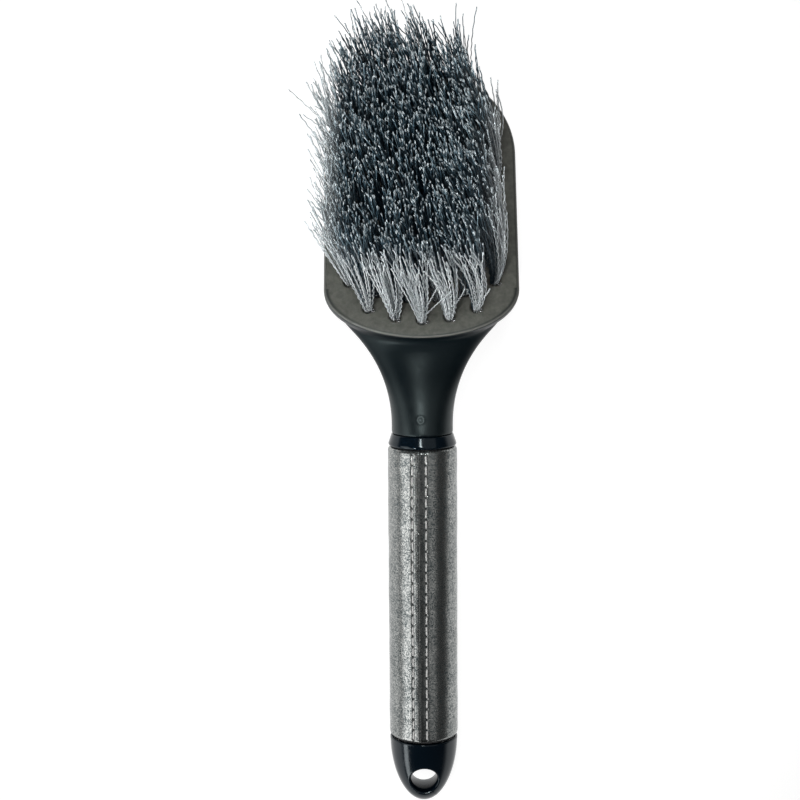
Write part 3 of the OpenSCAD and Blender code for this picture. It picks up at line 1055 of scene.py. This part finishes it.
def bristle_row(row, number, material):
    """One row of tufts: thin crimped tubes with slightly swollen cut ends, and a few loose ones."""
    lines, shares = [], []
    here = [(root, direction) for name, root, direction in tufts if name == row]
    for index, (root, direction) in enumerate(here):
        shifts = [shift for at, tuft, shift in STRAYS if (at, tuft) == (number, index)]
        line, share = filaments_of(root, direction, FILAMENTS, len(shifts))
        aside = np.zeros((FILAMENTS, 3))
        loose = random.uniform(0, 1, FILAMENTS) < 0.04
        aside[loose] = random.normal(0, 3.6, (int(loose.sum()), 3)) * [1, 1, 0.2]
        for k, shift in enumerate(shifts):
            aside[k] = shift
        lines.append(bend_aside(line, share, aside))
        shares.append(share)
    lines, shares = np.concatenate(lines), np.concatenate(shares)
    count = len(lines)
    thick = FILAMENT_R * random.uniform(0.88, 1.12, count)[:, None] * np.ones((1, RINGS))
    thick[:, -1] *= 1.15
    thick[:, -2] *= 1.25
    guide = unit(np.column_stack([random.normal(0, 1, (count, 2)), np.zeros(count)]))
    sides = 4
    points, quads, caps = tubes(lines, thick, sides, guide)
    obj = tube_object(f"bristles_row_{number:02d}", from_head(points), quads, caps, material)
    # painted glint on each filament's cut end: its last rings are lightened
    painted_tip_glint = np.zeros((count, RINGS))
    painted_tip_glint[:, -2:] = random.uniform(0.2, 1.0, count)[:, None]
    tone = random.uniform(0, 1, (count, 1)) ** 1.4
    # how near the outside of the whole brush each filament's tip is; there the filament gets a painted light
    x, v, _ = lines[:, -1].T
    inwards = np.minimum.reduce([x + 38, 29 - x, v - 9.5, HEAD_LEN + 3 - v])[:, None]
    outer = 1 - ease((inwards - 1.5) / 8)
    for name, values in (("along", shares), ("painted_tip_glint", painted_tip_glint), ("tone", tone), ("outer", outer)):
        add_attribute(obj, name, np.repeat(np.broadcast_to(values, (count, RINGS)).ravel(), sides))
    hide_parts(row)
    return obj


# The anchor's blade: its depth in the hole, its length and its radius
BLADE_DEPTH, BLADE_LEN, BLADE_R = 7.4, 1.8, 0.9
# The wire's loose end beside the tuft, and the bridge where it crosses the tuft's near side
LOOP_AWAY, LOOP_WIRE_R = 2.35, 0.13
BRIDGE_W, BRIDGE_H, BRIDGE_WIRE_R = 2.3, 0.85, 0.15


def anchor_wires(material):
    """In each hole a flat anchor, and at its mouth the bent end of its wire."""
    rings = 15
    lines, radii = [], []
    t = np.linspace(0, 1, rings)
    up = np.array([0, 0, 1.0])
    for _, root, direction in tufts:
        turn = math.radians(-42 + random.uniform(-12, 12))
        out = np.array([math.cos(turn), math.sin(turn), 0])
        side = np.array([-out[1], out[0], 0])
        a = t * 2 * math.pi * 0.93 + math.pi
        lines.append(root + LOOP_AWAY * out + 0.12 * up + 0.72 * np.cos(a)[:, None] * out
                     + 0.5 * np.sin(a)[:, None] * side + (0.28 + 0.22 * np.cos(a))[:, None] * up)
        lines.append(root + (t[:, None] - 0.5) * BRIDGE_W * X_AXIS + np.array([0, -1.45, -0.5])
                     + (BRIDGE_H * np.sin(math.pi * t))[:, None] * up)
        lines.append(root + (BLADE_LEN * (t - 0.5) - BLADE_DEPTH)[:, None] * direction)
        radii += [np.full(rings, r) for r in (LOOP_WIRE_R, BRIDGE_WIRE_R, BLADE_R)]
    lines, radii = np.array(lines), np.array(radii)
    guide = np.tile(np.array([0.3, 1.0, 0.1]), (len(lines), 1))
    points, quads, caps = tubes(lines, radii, 8, unit(guide))
    obj = tube_object("anchor_wires", from_head(points), quads, caps, material)
    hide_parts("tuft_anchors")
    return obj


# ------------ floor, lights and camera

def studio():
    """A pale table that glows round the brush in a painted pool of light, in a dim room."""
    corners = np.array([(-40, -40, 0), (40, -40, 0), (40, 40, 0), (-40, 40, 0)]) * 1000.0
    floor = new_object("floor", corners, [(0, 1, 2, 3)], None)
    look = Look("glowing_floor", Roughness=0.9)
    paper = look.mixed(look.noise(60.0, 2.0), (0.20, 0.20, 0.198), (0.22, 0.22, 0.218))
    aside = look.node("ShaderNodeVectorMath", operation="ADD")
    look.link(look.place, aside.inputs[0])
    aside.inputs[1].default_value = (0.09, -0.01, 0.0)
    away = look.node("ShaderNodeVectorMath", operation="LENGTH")
    look.link(aside.outputs["Vector"], away.inputs[0])
    # painted pool of light: the floor glows brightest round the brush and fades further out, though it is no
    # lamp
    look.set("Emission Strength", look.ranged(away.outputs["Value"], 0.25, 0.60, 0.92, 0.36))
    look.set("Base Color", paper)
    look.set("Emission Color", look.mixed(look.noise(90.0, 1.0), (0.98, 0.98, 0.98), (1.0, 1.0, 1.0)))
    floor.data.materials.append(look.material)

    world = bpy.data.worlds.new("studio")
    world.use_nodes = True
    tree = world.node_tree
    place = tree.nodes.new("ShaderNodeTexCoord")
    split = tree.nodes.new("ShaderNodeSeparateXYZ")
    ramp = tree.nodes.new("ShaderNodeMapRange")
    ramp.interpolation_type = "SMOOTHSTEP"
    set_range(ramp, 0.0, 0.12, 0.26, 0.05)
    tree.links.new(place.outputs["Generated"], split.inputs[0])
    tree.links.new(split.outputs["Z"], ramp.inputs["Value"])
    tree.links.new(ramp.outputs["Result"], tree.nodes["Background"].inputs["Strength"])
    tree.nodes["Background"].inputs["Color"].default_value = (1.0, 1.0, 1.0, 1)
    bpy.context.scene.world = world


def aimed(name, light, place, target):
    """Puts a light in the scene at its place, turned towards its target."""
    obj = linked(name, light)
    obj.location = place
    obj.rotation_euler = (Vector(target) - Vector(place)).to_track_quat("-Z", "Y").to_euler()


def area_light(name, place, target, size, radiance):
    """A rectangular softbox; radiance is how bright its front looks, with 1 for white paper."""
    light = bpy.data.lights.new(name, "AREA")
    light.shape = "RECTANGLE"
    light.size, light.size_y = size
    light.energy = radiance * math.pi * size[0] * size[1]
    aimed(name, light, place, target)


def spot_light(name, place, target, angle, strength):
    """A lamp in a snoot; strength is how bright it makes white paper that faces it."""
    light = bpy.data.lights.new(name, "SPOT")
    light.energy = strength * 4 * math.pi ** 2 * (Vector(target) - Vector(place)).length_squared
    light.spot_size = math.radians(angle)
    light.spot_blend = 0.5
    light.shadow_soft_size = 0.07
    aimed(name, light, place, target)


def lights():
    spot_light("head_spot", (-0.42, -0.58, 0.68), (0, 0.108, 0.06), 10.5, 0.95)
    area_light("back_softbox", (-0.09, 0.23, 1.12), (0, 0, 0.03), (0.11, 0.32), 36)
    area_light("left_softbox", (-0.86, -0.32, 0.50), (0, -0.05, 0.02), (1.05, 0.60), 2.2)
    area_light("low_softbox", (-0.95, -1.30, 0.27), (0, -0.10, 0.02), (1.00, 0.26), 5.5)
    area_light("top_fill", (0.55, -0.05, 1.35), (0, 0, 0.02), (1.8, 1.2), 0.45)


def camera():
    data = bpy.data.cameras.new("camera")
    data.sensor_width = 36
    data.lens = 72
    data.clip_start = 0.05
    obj = linked("camera", data)
    obj.location = (-0.0083, 0.0110, 0.630)
    obj.rotation_euler = (0, 0, math.radians(-0.4))
    bpy.context.scene.camera = obj


# ------------ the brush

def carried_over(node, material):
    """A CAD node that keeps its shape and gets a better material."""
    obj = frame["nodes"][node]
    obj.data.materials.clear()
    obj.data.materials.append(material)


wire, steel = bright_wire(), drawn_steel()
fabric, thread = woven_fabric(), sewing_thread()
bristle = bristle_plastic()
pieces = [
    head_and_neck(moulded_plastic()),
    tapered_collar(gloss_plastic("collar_gloss")),
    hanging_cap(gloss_plastic("cap_gloss")),
    foam_layer(closed_foam()),
    grip_fabric(fabric),
    stitch_line("stitching_left", "stitches_left", -STITCH_OFFSET, thread),
    stitch_line("stitching_right", "stitches_right", STITCH_OFFSET, thread),
    anchor_wires(wire),
]
pieces += [bristle_row(row, number, bristle) for number, row in enumerate(ROWS, 1)]
for piece in pieces:
    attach(piece, "root")
carried_over("core_tube", tube_plastic())
carried_over("tang_pins", steel)
carried_over("cap_pin", steel)

studio()
lights()
camera()
bpy.context.scene.view_settings.view_transform = "Standard"
